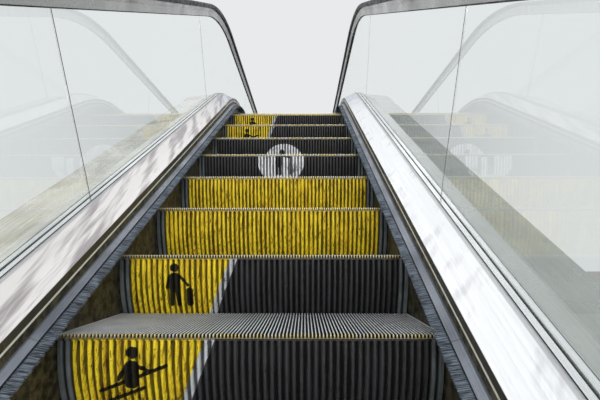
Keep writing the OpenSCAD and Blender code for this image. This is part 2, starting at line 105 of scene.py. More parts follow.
def newFinish(name, **settings):
    finish = bpy.data.materials.new(name)
    finish.use_nodes = True
    tree = finish.node_tree
    tree.nodes.clear()
    out = tree.nodes.new("ShaderNodeOutputMaterial")
    shader = tree.nodes.new("ShaderNodeBsdfPrincipled")
    tree.links.new(shader.outputs[0], out.inputs[0])
    for socket, value in settings.items():
        shader.inputs[socket.replace("_", " ")].default_value = value
    return finish, tree, shader


def reckon(tree, operation, a, b=0.0, clamp=False):
    step = tree.nodes.new("ShaderNodeMath")
    step.operation, step.use_clamp = operation, clamp
    feed(tree, step.inputs[0], a)
    feed(tree, step.inputs[1], b)
    return step.outputs[0]


def swell(tree, value, low, high, top=1.0):  # 0 at low, top at high
    span = tree.nodes.new("ShaderNodeMapRange")
    span.inputs["From Min"].default_value = low
    span.inputs["From Max"].default_value = high
    span.inputs["To Max"].default_value = top
    feed(tree, span.inputs["Value"], value)
    return span.outputs["Result"]


def mixed(tree, factor, a, b):
    blend = tree.nodes.new("ShaderNodeMix")
    blend.data_type = "RGBA"
    feed(tree, blend.inputs[0], factor)
    feed(tree, blend.inputs[6], a)
    feed(tree, blend.inputs[7], b)
    return blend.outputs[2]


def reset(tree, vector, setting, value):  # a move, a turn or a stretch of the coordinates
    mapping = tree.nodes.new("ShaderNodeMapping")
    mapping.inputs[setting].default_value = value
    tree.links.new(vector, mapping.inputs["Vector"])
    return mapping.outputs["Vector"]


def placed(tree, shift=(0, 0, 0), stretch=(1, 1, 1)):
    vector = reset(tree, tree.nodes.new("ShaderNodeTexCoord").outputs["Object"], "Location", shift)
    return reset(tree, vector, "Scale", stretch)


def alongRun(tree, seed=0.0, stretch=(1, 1, 1), skew=0.0):
    # y follows the run: turned by the slope on the incline, level before and after it
    level = placed(tree, shift=(seed, 0, 0))
    y = axes(tree, placed(tree))[1]
    sloping = reckon(tree, "MULTIPLY",
                     reckon(tree, "GREATER_THAN", y, pathPoint((lowerFlat + lowerTangent) / 2, 0)[0]),
                     reckon(tree, "LESS_THAN", y, pathPoint((upperTangent + upperFlat) / 2, 0)[0]))
    either = tree.nodes.new("ShaderNodeMix")
    either.data_type = "VECTOR"
    feed(tree, either.inputs[0], sloping)
    feed(tree, either.inputs[4], level)
    feed(tree, either.inputs[5], reset(tree, level, "Rotation", (-slope, 0, 0)))
    return reset(tree, reset(tree, either.outputs[1], "Rotation", (0, 0, skew)), "Scale", stretch)


def grain(tree, vector, size, detail, rough):
    noise = tree.nodes.new("ShaderNodeTexNoise")
    noise.inputs["Scale"].default_value = 1 / size
    noise.inputs["Detail"].default_value = detail
    noise.inputs["Roughness"].default_value = rough
    tree.links.new(vector, noise.inputs["Vector"])
    return noise.outputs[0]


def axes(tree, vector):
    parts = tree.nodes.new("ShaderNodeSeparateXYZ")
    tree.links.new(vector, parts.inputs[0])
    return parts.outputs


def bump(tree, shader, height, distance, strength):
    relief = tree.nodes.new("ShaderNodeBump")
    relief.inputs["Distance"].default_value = distance
    relief.inputs["Strength"].default_value = strength
    feed(tree, relief.inputs["Height"], height)
    tree.links.new(relief.outputs[0], shader.inputs["Normal"])


def stroke(tree, u, v, start, end, width):  # 1 inside a round-ended stroke
    point = tree.nodes.new("ShaderNodeCombineXYZ")
    feed(tree, point.inputs[0], u)
    feed(tree, point.inputs[1], v)

    def vectorMath(operation, a, b):
        step = tree.nodes.new("ShaderNodeVectorMath")
        step.operation = operation
        for socket, value in zip(step.inputs, (a, b)):
            feed(tree, socket, value)
        return step.outputs["Value" if operation in ("DOT_PRODUCT", "LENGTH") else "Vector"]

    offset = vectorMath("SUBTRACT", point.outputs[0], (start[0], start[1], 0))
    run = (end[0] - start[0], end[1] - start[1], 0)
    square = run[0] ** 2 + run[1] ** 2
    if square > 0:
        share = reckon(tree, "MULTIPLY", vectorMath("DOT_PRODUCT", offset, run), 1 / square, clamp=True)
        scaled = tree.nodes.new("ShaderNodeVectorMath")
        scaled.operation = "SCALE"
        scaled.inputs[0].default_value = run
        tree.links.new(share, scaled.inputs["Scale"])
        offset = vectorMath("SUBTRACT", offset, scaled.outputs["Vector"])
    return swell(tree, vectorMath("LENGTH", offset, (0, 0, 0)), width / 2 + 0.0006, width / 2 - 0.0006)


def together(tree, masks):
    total = masks[0]
    for mask in masks[1:]:
        total = reckon(tree, "MAXIMUM", total, mask)
    return total


def dress(name, finish):
    node = cadNodes[name]
    node.data.materials.clear()
    node.data.materials.append(finish)


stepLooks = {
    "half": 0.500,
    "firstCleat": 0.494,  # from the middle to the first cleat
    "riserPitch": 0.019,
    "grooveDepth": 0.011,
    "riserBack": 0.074,  # how far the riser lies behind the nose, at most
    "riserDrop": 0.214,
    "noseDepth": 0.007,
    "yokeStart": 0.398,
    "sideBand": 0.034,
    "dividerTop": -0.103,
    "dividerFoot": -0.185,
    "dividerWidth": 0.027,
    "discRadius": 0.143,
    "discCentre": {1: -0.035, 2: -0.188},
    "figureX": -0.310,
    "pattern": 6,  # the paint repeats after so many steps
    "yellow": paint(242, 216, 50),
    "oldYellow": paint(188, 148, 30),
    "black": paint(54, 54, 56),
    "ink": paint(30, 28, 20),
    "pale": paint(186, 190, 194),
    "disc": paint(232, 234, 236),
    "cream": paint(224, 206, 136),
    "noseGroove": paint(110, 94, 40),
    "metal": paint(240, 243, 246),
    "dullMetal": paint(208, 213, 218),
    "treadGroove": paint(30, 32, 34),
    "sideMetal": paint(116, 123, 126),
    "dullSide": paint(84, 88, 88),
    "casting": paint(96, 98, 98),
    "yoke": paint(38, 38, 40),
    "grime": paint(40, 32, 16),
    "grooveBlack": paint(9, 9, 9),
}


def figureStrokes(kind):  # (start, end, width) of the strokes of two plain figures, drawn for this part
    if kind == 3:  # one who reaches to a sloping rail
        return [((0.004, -0.048), (0.004, -0.048), 0.032), ((0.002, -0.088), (0.000, -0.124), 0.040),
                ((0.012, -0.080), (0.050, -0.098), 0.011), ((-0.012, -0.082), (-0.034, -0.118), 0.011),
                ((-0.082, -0.150), (0.092, -0.082), 0.010), ((-0.072, -0.182), (0.030, -0.142), 0.010)]
    return [((0, -0.044), (0, -0.044), 0.030), ((0, -0.078), (0, -0.112), 0.036),  # one with a case
            ((-0.009, -0.118), (-0.013, -0.172), 0.014), ((0.009, -0.118), (0.013, -0.172), 0.014),
            ((0.018, -0.072), (0.046, -0.104), 0.010), ((-0.018, -0.072), (-0.026, -0.112), 0.010),
            ((0.052, -0.124), (0.052, -0.166), 0.024)]


def discStrokes(kind):  # a figure with a staff, its head on the upper riser and the rest on the lower
    if kind == 2:
        return [((-0.014, -0.104), (-0.014, -0.104), 0.040), ((-0.014, -0.146), (-0.014, -0.200), 0.040)]
    return [((-0.014, -0.010), (-0.014, -0.060), 0.040), ((-0.024, -0.070), (-0.024, -0.120), 0.015),
            ((-0.004, -0.070), (-0.004, -0.120), 0.015), ((0.008, -0.010), (0.056, -0.020), 0.012),
            ((0.058, 0.004), (0.058, -0.120), 0.009)]


def riserPaint(tree, x, z, kind, yellow):
    # all yellow, a pale disc on black, or yellow and black with a pale line that leans between them
    looks = stepLooks

    def marks(strokes, shift=0.0):
        return together(tree, [stroke(tree, x, z, (a[0] + shift, a[1]), (b[0] + shift, b[1]), width)
                               for a, b, width in strokes])

    if kind in (5, 0):
        return yellow
    if kind in (1, 2):
        centre = (0, looks["discCentre"][kind])
        disc = stroke(tree, x, z, centre, centre, 2 * looks["discRadius"])
        colour = mixed(tree, disc, looks["black"], looks["disc"])
        return mixed(tree, marks(discStrokes(kind)), colour, looks["black"])
    lean = (looks["dividerTop"] - looks["dividerFoot"]) / (looks["riserDrop"] - looks["grooveDepth"])
    across = reckon(tree, "SUBTRACT", x, reckon(tree, "MULTIPLY", z, lean))
    middle, half, soft = looks["dividerTop"] + looks["grooveDepth"] * lean, looks["dividerWidth"] / 2, 0.001
    onLine = swell(tree, across, middle - half, middle - half + soft)
    pastLine = swell(tree, across, middle + half - soft, middle + half)
    colour = mixed(tree, pastLine, mixed(tree, onLine, yellow, looks["pale"]), looks["black"])
    return mixed(tree, marks(figureStrokes(kind), looks["figureX"]), colour, looks["ink"])


def stepFinish(index):
    looks = stepLooks
    grooveDepth = looks["grooveDepth"]
    noseY, noseZ = pathPoint(firstNose + (index - 1) * path["stepPitch"], 0)
    finish, tree, shader = newFinish(f"worn_step_{index:02d}", Specular_IOR_Level=0.3)
    x, y, z = axes(tree, placed(tree, shift=(0, -noseY, -noseZ)))

    def spots(size, detail, rough, stretch=(1, 1, 1)):  # shifted on each step, so that no two wear alike
        return grain(tree, placed(tree, shift=(0.37 * index, -noseY, -noseZ), stretch=stretch), size, detail, rough)

    fine = spots(0.0045, 4, 0.6)
    broad = spots(0.09, 3, 0.55)
    runs = spots(0.006, 3, 0.65, (1, 1, 0.10))
    ridgeTone = spots(0.021, 1, 0.5, (1, 0.1, 0.02))
    uneven = spots(0.045, 2, 0.5, (1, 0.3, 0.3))

    # where the riser, the nose, the bare sides and the inside of the step are
    onRiser = reckon(tree, "MULTIPLY", swell(tree, z, -grooveDepth, -grooveDepth - 0.0008),
                     reckon(tree, "LESS_THAN", y, looks["riserBack"]))
    inside = together(tree, [reckon(tree, "LESS_THAN", z, -looks["riserDrop"]),
                             reckon(tree, "MULTIPLY", reckon(tree, "GREATER_THAN", y, looks["riserBack"]),
                                    reckon(tree, "LESS_THAN", z, -grooveDepth - 0.003))])
    onNose = reckon(tree, "MULTIPLY", reckon(tree, "LESS_THAN", y, looks["noseDepth"]),
                    swell(tree, z, -grooveDepth - 0.0006, -grooveDepth))
    sideStart = looks["half"] - looks["sideBand"]
    sideEdge = swell(tree, reckon(tree, "ABSOLUTE", x), sideStart, sideStart + 0.001)
    riserGroove = reckon(tree, "PINGPONG", reckon(tree, "ADD", x, looks["firstCleat"]), looks["riserPitch"] / 2)

    # paint of the riser, each ridge worn in its own way
    wear = reckon(tree, "ADD", reckon(tree, "MULTIPLY", runs, 0.6), reckon(tree, "MULTIPLY", ridgeTone, 0.4))
    yellow = mixed(tree, swell(tree, wear, 0.43, 0.61), looks["yellow"], looks["oldYellow"])
    colour = riserPaint(tree, x, z, index % looks["pattern"], yellow)

    # chips, then the grooves darkened as dirt and painted shade, and a band of painted shade under the nose, then
    # the bare sides, their grooves darkened the same way
    chips = together(tree, [
        reckon(tree, "MULTIPLY", swell(tree, fine, 0.59, 0.65), swell(tree, broad, 0.38, 0.56)),
        reckon(tree, "MULTIPLY", swell(tree, runs, 0.56, 0.62), swell(tree, broad, 0.42, 0.54))])
    colour = mixed(tree, reckon(tree, "MULTIPLY", chips, 0.8), colour, looks["grime"])
    # the grooves of the riser painted dark, as dirt and painted shade, reaching out unevenly
    filled = reckon(tree, "ADD", reckon(tree, "MULTIPLY", runs, 0.0044), reckon(tree, "MULTIPLY", uneven, 0.0090))
    grooveDirtAndShade = swell(tree, reckon(tree, "ADD", riserGroove, filled), 0.0109, 0.0131, 0.96)
    # painted shade: a dark band just under the overhanging nose
    under = swell(tree, z, -grooveDepth - 0.0065, -grooveDepth - 0.0020, 0.85)
    colour = mixed(tree, together(tree, [grooveDirtAndShade, under]), colour, mixed(tree, 0.12, looks["grooveBlack"], colour))
    bare = mixed(tree, swell(tree, broad, 0.35, 0.7), looks["sideMetal"], looks["dullSide"])
    # the grooves of the bare sides painted dark, as dirt and painted shade
    sideGroove = swell(tree, riserGroove, 0.0050, 0.0072, 0.85)
    colour = mixed(tree, sideEdge, colour, mixed(tree, sideGroove, bare, looks["grooveBlack"]))

    # tread: pale cleats over grooves painted darker with depth, as dirt and painted shade, and the worn paint of
    # the nose
    cleat = mixed(tree, swell(tree, broad, 0.35, 0.75), looks["metal"], looks["dullMetal"])
    tread = mixed(tree, swell(tree, z, -0.0006, -0.0036), cleat, looks["treadGroove"])
    rubbed = reckon(tree, "ADD", broad, reckon(tree, "MULTIPLY", fine, 0.6))
    nose = mixed(tree, swell(tree, rubbed, 0.72, 0.98), looks["cream"], looks["dullMetal"])
    # the grooves of the nose painted darker with depth, as dirt and painted shade
    nose = mixed(tree, swell(tree, z, -0.0030, -0.0080, 0.70), nose, looks["noseGroove"])
    colour = mixed(tree, onRiser, mixed(tree, onNose, tread, nose), colour)

    # under the tread: the casting between the dark yokes
    onYoke = swell(tree, reckon(tree, "ABSOLUTE", x), looks["yokeStart"], looks["yokeStart"] + 0.002)
    colour = mixed(tree, inside, colour, mixed(tree, onYoke, looks["casting"], looks["yoke"]))

    feed(tree, shader.inputs["Base Color"], colour)
    painted = together(tree, [onRiser, inside])
    feed(tree, shader.inputs["Metallic"], swell(tree, painted, 1.0, 0.0, 0.25))
    feed(tree, shader.inputs["Roughness"],
         reckon(tree, "ADD", reckon(tree, "MULTIPLY", painted, 0.10), swell(tree, fine, 0.0, 1.0, 0.75)))
    bump(tree, shader, reckon(tree, "ADD", fine, reckon(tree, "MULTIPLY", chips, -0.8)), 0.0003, 0.6)
    return finish


for index in range(1, stepCount + 1):
    dress(f"step_{index:02d}", stepFinish(index))
print("steps painted:", stepCount)


def brushedMetal(name, colour, worn, roughness, metallic):
    # fine streaks run with the stair, over broad smudges
    finish, tree, shader = newFinish(name, Metallic=metallic)
    streaks = grain(tree, alongRun(tree, stretch=(1, 0.02, 1)), 0.004, 3, 0.55)
    smudge = grain(tree, placed(tree), 0.22, 4, 0.55)
    tone = reckon(tree, "ADD", reckon(tree, "MULTIPLY", streaks, 0.45), reckon(tree, "MULTIPLY", smudge, 0.55))
    feed(tree, shader.inputs["Base Color"], mixed(tree, swell(tree, tone, 0.40, 0.64), colour, worn))
    feed(tree, shader.inputs["Roughness"], swell(tree, smudge, 0.1, 0.9, roughness * 1.6))
    return finish


def deckWithPaintedReflections(name, bright, dull, seed, skew, share):
    # sheet steel with uneven light and dark bands of painted reflection that run aslant, fine scuffs and a duller
    # outer edge
    finish, tree, shader = newFinish(name, Metallic=0.35)
    wide = grain(tree, alongRun(tree, seed, (1, 0.05, 1), skew), 0.040, 1, 0.4)
    narrow = grain(tree, alongRun(tree, seed + 3, (1, 0.05, 1), skew * 0.6), 0.013, 2, 0.5)
    streaks = grain(tree, alongRun(tree, seed, (1, 0.015, 1)), 0.006, 3, 0.6)
    tone = reckon(tree, "ADD", reckon(tree, "MULTIPLY", wide, 0.55), reckon(tree, "MULTIPLY", narrow, 0.30))
    tone = reckon(tree, "ADD", tone, reckon(tree, "MULTIPLY", streaks, 0.15))
    colour = mixed(tree, swell(tree, tone, 0.60 - share, 0.72 - share), bright, dull)
    x, y = axes(tree, placed(tree))[:2]
    bend = pathPoint(upperTangent, 0.15)[0]  # up there it mirrors a colder light
    colour = mixed(tree, swell(tree, y, bend - 0.55, bend + 0.10, 0.60), colour,
                   mixed(tree, swell(tree, narrow, 0.40, 0.60), paint(190, 198, 212), paint(142, 150, 164)))
    edge = swell(tree, reckon(tree, "ABSOLUTE", x), 0.5955, 0.5985, 0.75)
    feed(tree, shader.inputs["Base Color"], mixed(tree, edge, colour, paint(158, 159, 162)))
    feed(tree, shader.inputs["Roughness"], swell(tree, streaks, 0.0, 1.0, 0.80))
    return finish


def satinPaint(name, colour, dirty, roughness, size, fineSize=0.003):
    finish, tree, shader = newFinish(name)
    patch = grain(tree, placed(tree), size, 5, 0.6)
    feed(tree, shader.inputs["Base Color"], mixed(tree, swell(tree, patch, 0.42, 0.78), colour, dirty))
    feed(tree, shader.inputs["Roughness"], swell(tree, patch, 0.0, 1.0, roughness * 2))
    bump(tree, shader, grain(tree, placed(tree), fineSize, 3, 0.6), 0.0001, 0.4)
    return finish


def scuffedSkirt():
    finish, tree, shader = newFinish("scuffed_skirt", Specular_IOR_Level=0.35)
    rubs = grain(tree, alongRun(tree, stretch=(1, 0.05, 1)), 0.004, 5, 0.65)
    patch = grain(tree, placed(tree), 0.030, 6, 0.70)
    colour = mixed(tree, swell(tree, patch, 0.42, 0.58), paint(92, 86, 64), paint(30, 29, 20))
    colour = mixed(tree, swell(tree, rubs, 0.58, 0.72, 0.55), colour, paint(134, 128, 100))
    feed(tree, shader.inputs["Base Color"], colour)
    feed(tree, shader.inputs["Roughness"], swell(tree, rubs, 0.0, 1.0, 0.95))
    bump(tree, shader, rubs, 0.0002, 0.5)
    return finish


def clearGlass():
    finish, tree, shader = newFinish("clear_glass", Base_Color=paint(246, 250, 248), Roughness=0.0, IOR=1.45,
                                     Transmission_Weight=1.0)
    out = next(n for n in tree.nodes if n.type == "OUTPUT_MATERIAL")
    through = tree.nodes.new("ShaderNodeBsdfTransparent")
    through.inputs[0].default_value = paint(240, 245, 243)
    rays = tree.nodes.new("ShaderNodeLightPath")
    either = tree.nodes.new("ShaderNodeMixShader")
    tree.links.new(rays.outputs["Is Shadow Ray"], either.inputs[0])
    tree.links.new(shader.outputs[0], either.inputs[1])
    tree.links.new(through.outputs[0], either.inputs[2])
    tree.links.new(either.outputs[0], out.inputs[0])
    return finish


def softRubber(name, colour, worn):
    finish, tree, shader = newFinish(name, Specular_IOR_Level=0.35)
    patch = grain(tree, placed(tree), 0.05, 4, 0.6)
    feed(tree, shader.inputs["Base Color"], mixed(tree, swell(tree, patch, 0.45, 0.85), colour, worn))
    feed(tree, shader.inputs["Roughness"], patch)
    return finish


def wornComb():
    # yellow teeth and ramp, bare ribbed metal behind them
    finish, tree, shader = newFinish("worn_comb", Specular_IOR_Level=0.35)
    fine = grain(tree, placed(tree), 0.006, 5, 0.65)
    broad = grain(tree, placed(tree), 0.12, 4, 0.6)
    wear = reckon(tree, "ADD", reckon(tree, "MULTIPLY", fine, 0.5), reckon(tree, "MULTIPLY", broad, 0.5))
    yellow = mixed(tree, swell(tree, wear, 0.54, 0.62), paint(222, 190, 34), paint(150, 148, 138))
    bare = mixed(tree, swell(tree, broad, 0.3, 0.7), paint(178, 180, 181), paint(150, 152, 152))
    y = axes(tree, placed(tree))[1]
    painted = 0.112  # how far the paint reaches from the comb line
    away = [reckon(tree, "ABSOLUTE", reckon(tree, "SUBTRACT", y, line))
            for line in (path["landing"], lengthY - path["landing"])]
    teeth = together(tree, [reckon(tree, "LESS_THAN", distance, painted) for distance in away])
    feed(tree, shader.inputs["Base Color"], mixed(tree, teeth, bare, yellow))
    feed(tree, shader.inputs["Metallic"], swell(tree, teeth, 1.0, 0.0, 0.5))
    feed(tree, shader.inputs["Roughness"], swell(tree, fine, 0.0, 1.0, 0.85))
    bump(tree, shader, wear, 0.0003, 0.5)
    return finish


# the two inner decks are one steel with painted light: darker, pinker reflections on the left, brighter ones on the
# right
deckLeftDarkerReflection = deckWithPaintedReflections("deck_steel_left", paint(212, 208, 208), paint(150, 144, 146), 1.7, -0.20, 0.13)
deckRightBrighterReflection = deckWithPaintedReflections("deck_steel_right", paint(224, 225, 228), paint(204, 204, 208), 4.2, 0.75, 0.06)
outerSteel = brushedMetal("outer_deck_steel", paint(176, 180, 177), paint(158, 161, 158), 0.42, 0.55)
# the outer deck on the left is a paler copy of the outer steel, a painted reflection
outerSteelLeftReflecting = brushedMetal("outer_deck_steel_left_painted_reflection", paint(236, 234, 228), paint(170, 165, 158), 0.38, 0.5)
clampSteel = brushedMetal("clamp_steel", paint(240, 241, 242), paint(214, 216, 218), 0.26, 0.8)
holderMetal = brushedMetal("holder_aluminium", paint(112, 118, 128), paint(84, 89, 98), 0.42, 0.30)
guideSteel = brushedMetal("guide_steel", paint(184, 186, 184), paint(166, 168, 166), 0.36, 0.6)
capSteel = brushedMetal("cap_steel", paint(206, 207, 208), paint(186, 188, 190), 0.36, 0.7)
floorSteel = brushedMetal("floor_steel", paint(132, 134, 134), paint(118, 119, 118), 0.42, 0.5)
ribSteel = brushedMetal("rib_steel", paint(196, 198, 198), paint(178, 180, 180), 0.38, 0.6)
skirtPaint = scuffedSkirt()
trussPaint = satinPaint("truss_paint", paint(102, 106, 108), paint(92, 95, 96), 0.55, 0.3)
claddingPaint = satinPaint("cladding_paint", paint(190, 192, 190), paint(176, 177, 174), 0.42, 0.7, 0.004)
soffitPaint = satinPaint("soffit_paint", paint(196, 197, 195), paint(180, 180, 177), 0.45, 0.8, 0.004)
glassFinish = clearGlass()
beltRubber = softRubber("handrail_rubber", paint(16, 16, 17), paint(26, 26, 27))
blackRubber = softRubber("black_rubber", paint(16, 16, 17), paint(30, 30, 31))
greyGasket = softRubber("grey_gasket", paint(176, 178, 177), paint(160, 162, 160))
combPaint = wornComb()
screwSteel = brushedMetal("screw_steel", paint(190, 192, 192), paint(150, 150, 148), 0.3, 0.8)
creamLine = satinPaint("cream_line", paint(244, 242, 228), paint(208, 204, 180), 0.4, 0.05)
darkBand = satinPaint("dark_band", paint(70, 68, 56), paint(48, 47, 40), 0.35, 0.10)
jointShade = satinPaint("joint_shade", paint(70, 72, 73), paint(52, 53, 54), 0.5, 0.05)

pairFinish = {"glass": glassFinish, "handrail": beltRubber, "outer_deck": outerSteel,
              "side_cladding": claddingPaint, "truss": trussPaint, "brush": blackRubber}
for part, finish in pairFinish.items():
    for side in ("left", "right"):
        dress(f"{part}_{side}", finish)
soloFinish = {"inner_deck_left": deckLeftDarkerReflection, "inner_deck_right": deckRightBrighterReflection, "skirts": skirtPaint,
              "brush_holders": holderMetal, "glass_clamps": clampSteel, "handrail_guides": guideSteel,
              "newel_caps": capSteel, "floor_plates": floorSteel, "comb_plates": combPaint, "soffit": soffitPaint,
              "lower_end_frame": trussPaint, "upper_end_frame": trussPaint}
for part, finish in soloFinish.items():
    dress(part, finish)
dress("outer_deck_left", outerSteelLeftReflecting)
print("metals, glass and rubber dressed")


def startEdit(piece):
    bpy.ops.object.select_all(action="DESELECT")
    bpy.context.view_layer.objects.active = piece
    piece.select_set(True)
    bpy.ops.object.mode_set(mode="EDIT")
    bpy.ops.mesh.select_all(action="SELECT")


def endEdit():
    bpy.ops.object.mode_set(mode="OBJECT")


def outline(name, corners, fill="NOTHING"):  # a closed line through these places
    bpy.ops.object.select_all(action="DESELECT")
    bpy.ops.mesh.primitive_circle_add(vertices=len(corners), radius=1, fill_type=fill)
    piece = bpy.context.object
    piece.name = piece.data.name = name
    for vertex, corner in zip(piece.data.vertices, corners):
        vertex.co = corner
    return piece


def closeUp():
    bpy.ops.mesh.select_all(action="SELECT")
    bpy.ops.mesh.fill_holes(sides=0)
    bpy.ops.mesh.normals_make_consistent(inside=False)
    endEdit()


def carryAlongPath(name, section, start, end):  # section: places (x, n) round the piece
    piece = outline(name, [(x, *pathPoint(start, n)) for x, n in section])
    startEdit(piece)
    s = start
    lowerCentre = (0, bendY, path["lowLevel"] + path["lowerRadius"])
    upperCentre = (0, upperFlatY, highLevel - path["upperRadius"])
    for stop, radius, centre in ((lowerFlat, None, None), (lowerTangent, path["lowerRadius"], lowerCentre),
                                 (upperTangent, None, None), (upperFlat, -path["upperRadius"], upperCentre),
                                 (pathEnd + 1, None, None)):
        reach = min(stop, end)
        if reach <= s + 1e-6:
            continue
        if radius is None:
            hair = 1e-7  # keeps both places on this straight
            (y1, z1), (y2, z2) = pathPoint(s + hair, 0), pathPoint(reach - hair, 0)
            bpy.ops.mesh.extrude_region_move(TRANSFORM_OT_translate={"value": (0, y2 - y1, z2 - z1)})
        else:
            turns = max(1, round(path["bendSteps"] * (reach - s) / (abs(radius) * slope)))
            bpy.ops.mesh.spin(steps=turns, angle=-(reach - s) / radius, center=centre, axis=(1, 0, 0))
        s = reach
    closeUp()
    return piece


def layOnPath(piece):  # made straight as (x, s, n), it comes to lie along the path
    for vertex in piece.data.vertices:
        x, s, n = vertex.co
        vertex.co = (x, *pathPoint(s, n))
    return piece


def crossBar(name, section, s, width):  # a thin bar across the run, its section given as (x, n)
    bar = outline(name, [(x, s - width / 2, n) for x, n in section])
    startEdit(bar)
    bpy.ops.mesh.extrude_region_move(TRANSFORM_OT_translate={"value": (0, width, 0)})
    closeUp()
    return layOnPath(bar)


def box(name, low, high, bevel=0.0):
    bpy.ops.object.select_all(action="DESELECT")
    bpy.ops.mesh.primitive_cube_add(size=1, location=[(a + b) / 2 for a, b in zip(low, high)])
    piece = bpy.context.object
    piece.scale = [b - a for a, b in zip(low, high)]
    bpy.ops.object.transform_apply(location=True, scale=True)
    piece.name = piece.data.name = name
    if bevel:
        startEdit(piece)
        bpy.ops.mesh.bevel(offset=bevel, segments=2, affect="EDGES")
        endEdit()
    return piece


def repeated(piece, count, offset):  # rows of the same, joined in one mesh
    rows = piece.modifiers.new("rows", "ARRAY")
    rows.count = count
    rows.use_relative_offset = False
    rows.use_constant_offset = True
    rows.constant_offset_displace = offset
    bpy.context.view_layer.objects.active = piece
    bpy.ops.object.modifier_apply(modifier="rows")
    return piece


def copied(piece, name):
    other = piece.copy()
    other.data = piece.data.copy()
    other.name = other.data.name = name
    bpy.context.scene.collection.objects.link(other)
    return other


def moved(piece, place, turn=(0, 0, 0)):
    bpy.ops.object.select_all(action="DESELECT")
    bpy.context.view_layer.objects.active = piece
    piece.select_set(True)
    piece.location, piece.rotation_euler = place, turn
    bpy.ops.object.transform_apply(location=True, rotation=True)
    return piece


def atUpperEnd(piece, name):  # the same piece turned round for the upper landing
    return moved(copied(piece, name), (0, lengthY, path["rise"]), (0, 0, math.pi))


def signOf(side):
    return -1 if side == "left" else 1


def mirrored(section, side):
    return [(signOf(side) * x, n) for x, n in section]


def joined(name, parts):
    bpy.ops.object.select_all(action="DESELECT")
    for part in parts:
        part.select_set(True)
    bpy.context.view_layer.objects.active = parts[0]
    if len(parts) > 1:
        bpy.ops.object.join()
    whole = bpy.context.view_layer.objects.active
    whole.name = whole.data.name = name
    return whole


def finished(piece, finish, slot, *replaced):
    piece.data.materials.clear()
    piece.data.materials.append(finish)
    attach(piece, "root")
    if replaced:
        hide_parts(*replaced)


def atBothEnds(piece, what, finish, slot):  # made for the lower landing, it serves both
    finished(atUpperEnd(piece, f"upper_{what}"), finish, slot)
    piece.name = piece.data.name = f"lower_{what}"
    finished(piece, finish, slot)


brush = {
    "root": 0.4865, "tip": 0.453,
    "rows": 2, "rowGap": 0.0060,
    "spacing": 0.0021, "thick": 0.0016, "tipShare": 0.32,
    "level": 0.0500, "tipDrop": 0.006,
    "dropSpread": 0.0006, "leanSpread": 0.0005, "slipSpread": 0.0002, "shorter": 0.03, "longer": 0.01,
    "seed": {"left": 11, "right": 12},
    "margin": 0.120, "inset": 0.002,  # from the comb line to the core, and on to the first tuft
    "segment": 1.000,
    "core": ((0.4795, 0.0472), (0.4868, 0.0472), (0.4868, 0.0588), (0.4795, 0.0588)),
    "endCap": {"inner": 0.4782, "outer": 0.5045, "foot": 0.0405, "top": 0.0690, "long": 0.015, "lap": 0.001,
               "bevel": 0.003},
}
brushRun = (brush["margin"], pathEnd - brush["margin"])


def brushOf(side):
    # one four-sided tuft that points inwards, then two long rows of it, then each tuft leans by itself
    length = brush["root"] - brush["tip"]
    start = brush["margin"] + brush["inset"]
    sign = signOf(side)
    bpy.ops.object.select_all(action="DESELECT")
    bpy.ops.mesh.primitive_cone_add(vertices=4, radius1=brush["thick"] / 2,
                                    radius2=brush["thick"] * brush["tipShare"], depth=length)
    tufts = moved(bpy.context.object, (sign * (brush["root"] - length / 2), start, brush["level"]),
                  (0, -sign * math.pi / 2, 0))
    repeated(tufts, int((pathEnd - 2 * start) / brush["spacing"]), (0, brush["spacing"], 0))
    repeated(tufts, brush["rows"], (0, brush["spacing"] / 2, brush["rowGap"]))
    luck = random.Random(brush["seed"][side])
    corners = 8  # of one tuft
    for first in range(0, len(tufts.data.vertices), corners):
        drop = -brush["tipDrop"] + luck.uniform(-brush["dropSpread"], brush["dropSpread"])
        lean = luck.gauss(0, brush["leanSpread"])
        stretch = 1 - luck.uniform(-brush["longer"], brush["shorter"])
        slip = luck.uniform(-brush["slipSpread"], brush["slipSpread"])
        for vertex in tufts.data.vertices[first:first + corners]:
            share = (brush["root"] - abs(vertex.co.x)) / length
            vertex.co.x = sign * (brush["root"] - share * length * stretch)
            vertex.co.y += slip + lean * share
            vertex.co.z += drop * share * share
    core = carryAlongPath("core", mirrored(brush["core"], side), *brushRun)
    return joined(f"bristles_{side}", [layOnPath(tufts), core])


def bristleNylon():
    finish, tree, shader = newFinish("bristle_nylon", Roughness=0.6, Specular_IOR_Level=0.3)
    strands = grain(tree, alongRun(tree, stretch=(0.05, 1, 0.3)), 0.0030, 1, 0.5)
    patch = grain(tree, placed(tree), 0.06, 3, 0.5)
    both = reckon(tree, "ADD", reckon(tree, "MULTIPLY", strands, 0.75), reckon(tree, "MULTIPLY", patch, 0.25))
    feed(tree, shader.inputs["Base Color"],
         mixed(tree, swell(tree, both, 0.44, 0.58), paint(44, 50, 60), paint(126, 138, 152)))
    return finish


nylon = bristleNylon()
for side in ("left", "right"):
    finished(brushOf(side), nylon, "bristles", f"brush_{side}")
print("bristles set")


